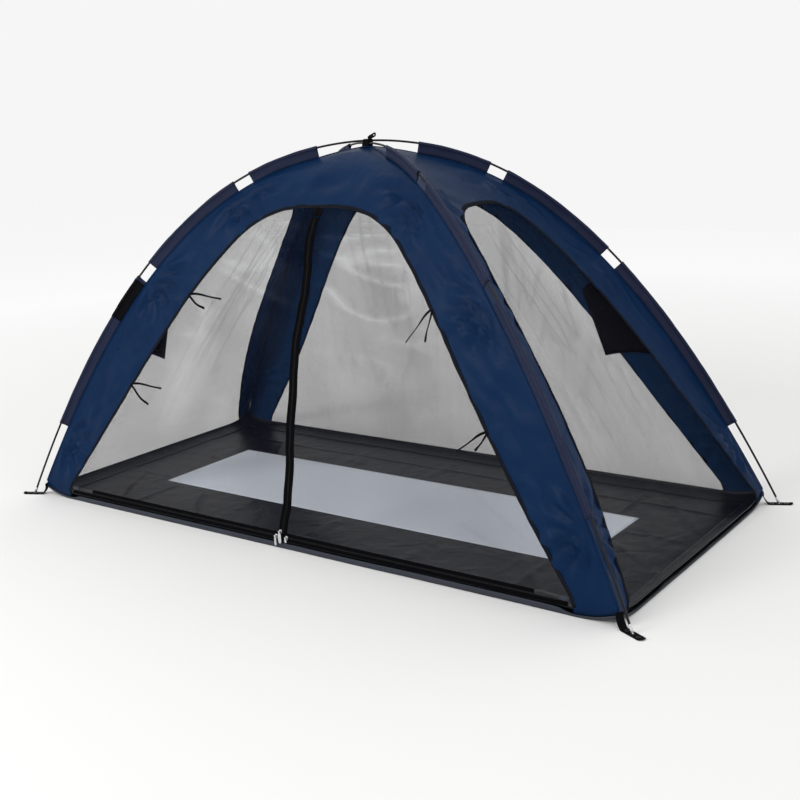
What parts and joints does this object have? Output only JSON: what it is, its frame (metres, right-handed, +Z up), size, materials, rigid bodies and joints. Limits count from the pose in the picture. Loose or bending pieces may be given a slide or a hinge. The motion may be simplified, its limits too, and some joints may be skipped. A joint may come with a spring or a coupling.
{
  "type": "mosquito net tent",
  "caption": "Low mosquito net tent for a bed: bent poles cross outside a cloth and net canopy with a zipped two-leaf door and a sewn floor.",
  "frame": {"origin": "on the ground below the crown, where the poles cross", "axes": "+X along the bed, +Z up; the door is in the long side at -Y"},
  "size_m": [2.1608, 1.0374, 1.0907],
  "materials": {
    "navy_cloth": "matte woven",
    "slate_cloth": "matte woven",
    "dark_floor_cloth": "coated, low sheen",
    "light_floor_cloth": "coated, low sheen",
    "hem_cloth": "matte woven",
    "black_tape": "matte woven",
    "black_net": "fine open mesh",
    "black_rod": "smooth",
    "bright_metal": "polished"
  },
  "bodies": {
    "tent": {"back_net": "black_net", "back_panel": "navy_cloth", "back_window_binding": "black_tape", "corner_pocket_back_right": "black_tape", "corner_pocket_front_left": "black_tape", "corner_tab_back_left": "black_tape", "corner_tab_back_right": "black_tape", "corner_tab_front_left": "black_tape", "corner_tab_front_right": "black_tape", "crown_strap": "black_tape", "door_side_net_left": "black_net", "door_side_net_right": "black_net", "floor_hem": "hem_cloth", "floor_light_panel": "light_floor_cloth", "floor_margin": "dark_floor_cloth", "front_panel": "navy_cloth", "front_window_binding": "black_tape", "left_net": "black_net", "left_panel": "navy_cloth", "left_window_binding": "black_tape", "pole_a_section_1": "black_rod", "pole_a_section_2": "black_rod", "pole_a_section_3": "black_rod", "pole_a_section_4": "black_rod", "pole_a_section_5": "black_rod", "pole_a_section_6": "black_rod", "pole_a_section_7": "black_rod", "pole_b_section_1": "black_rod", "pole_b_section_2": "black_rod", "pole_b_section_3": "black_rod", "pole_b_section_4": "black_rod", "pole_b_section_5": "black_rod", "pole_b_section_6": "black_rod", "pole_b_section_7": "black_rod", "right_net": "black_net", "right_panel": "navy_cloth", "right_window_binding": "black_tape", "sill_zip_tape": "black_tape", "sleeve_back_left_lower": "slate_cloth", "sleeve_back_left_middle": "slate_cloth", "sleeve_back_left_upper": "slate_cloth", "sleeve_back_right_lower": "slate_cloth", "sleeve_back_right_middle": "slate_cloth", "sleeve_back_right_upper": "slate_cloth", "sleeve_front_left_lower": "slate_cloth", "sleeve_front_left_middle": "slate_cloth", "sleeve_front_left_upper": "slate_cloth", "sleeve_front_right_lower": "slate_cloth", "sleeve_front_right_middle": "slate_cloth", "sleeve_front_right_upper": "slate_cloth"},
    "left_leaf": {"door_leaf_left": "black_net", "door_leaf_tape_left": "black_tape"},
    "right_leaf": {"door_leaf_right": "black_net", "door_leaf_tape_right": "black_tape"},
    "door_slider": {"door_zip_slider": "bright_metal"},
    "door_pull": {"door_zip_pull": "bright_metal"},
    "left_sill_slider": {"sill_zip_slider_left": "bright_metal"},
    "left_sill_pull": {"sill_zip_pull_left": "bright_metal"},
    "right_sill_slider": {"sill_zip_slider_right": "bright_metal"},
    "right_sill_pull": {"sill_zip_pull_right": "bright_metal"}
  },
  "joints": [
    {"name": "left_leaf_fold", "type": "hinge", "parent": "tent", "child": "left_leaf", "pos_m": [-0.8, -0.475, 0.0338], "axis": [-0.6648, -0.2083, -0.7174], "range_deg": [0, 100]},
    {"name": "right_leaf_fold", "type": "hinge", "parent": "tent", "child": "right_leaf", "pos_m": [0.8, -0.475, 0.0338], "axis": [-0.6648, 0.2083, 0.7174], "range_deg": [0, 100]},
    {"name": "door_slider_travel", "type": "hinge", "parent": "left_leaf", "child": "door_slider", "pos_m": [-0.0058, 3.46735, -0.64286], "axis": [-1, 0, 0], "range_deg": [0, 11.95]},
    {"name": "door_pull_swing", "type": "hinge", "parent": "door_slider", "child": "door_pull", "pos_m": [-0.0058, -0.48119, 0.049], "axis": [-1, 0, 0], "range_deg": [0, 150]},
    {"name": "left_sill_slider_travel", "type": "slide", "parent": "left_leaf", "child": "left_sill_slider", "axis": [-1, 0, 0], "range_m": [0, 0.74]},
    {"name": "left_sill_pull_swing", "type": "hinge", "parent": "left_sill_slider", "child": "left_sill_pull", "pos_m": [-0.02, -0.48357, 0.03527], "axis": [-1, 0, 0], "range_deg": [0, 150]},
    {"name": "right_sill_slider_travel", "type": "slide", "parent": "right_leaf", "child": "right_sill_slider", "axis": [1, 0, 0], "range_m": [0, 0.743]},
    {"name": "right_sill_pull_swing", "type": "hinge", "parent": "right_sill_slider", "child": "right_sill_pull", "pos_m": [0.017, -0.48357, 0.03527], "axis": [-1, 0, 0], "range_deg": [0, 150]}
  ]
}
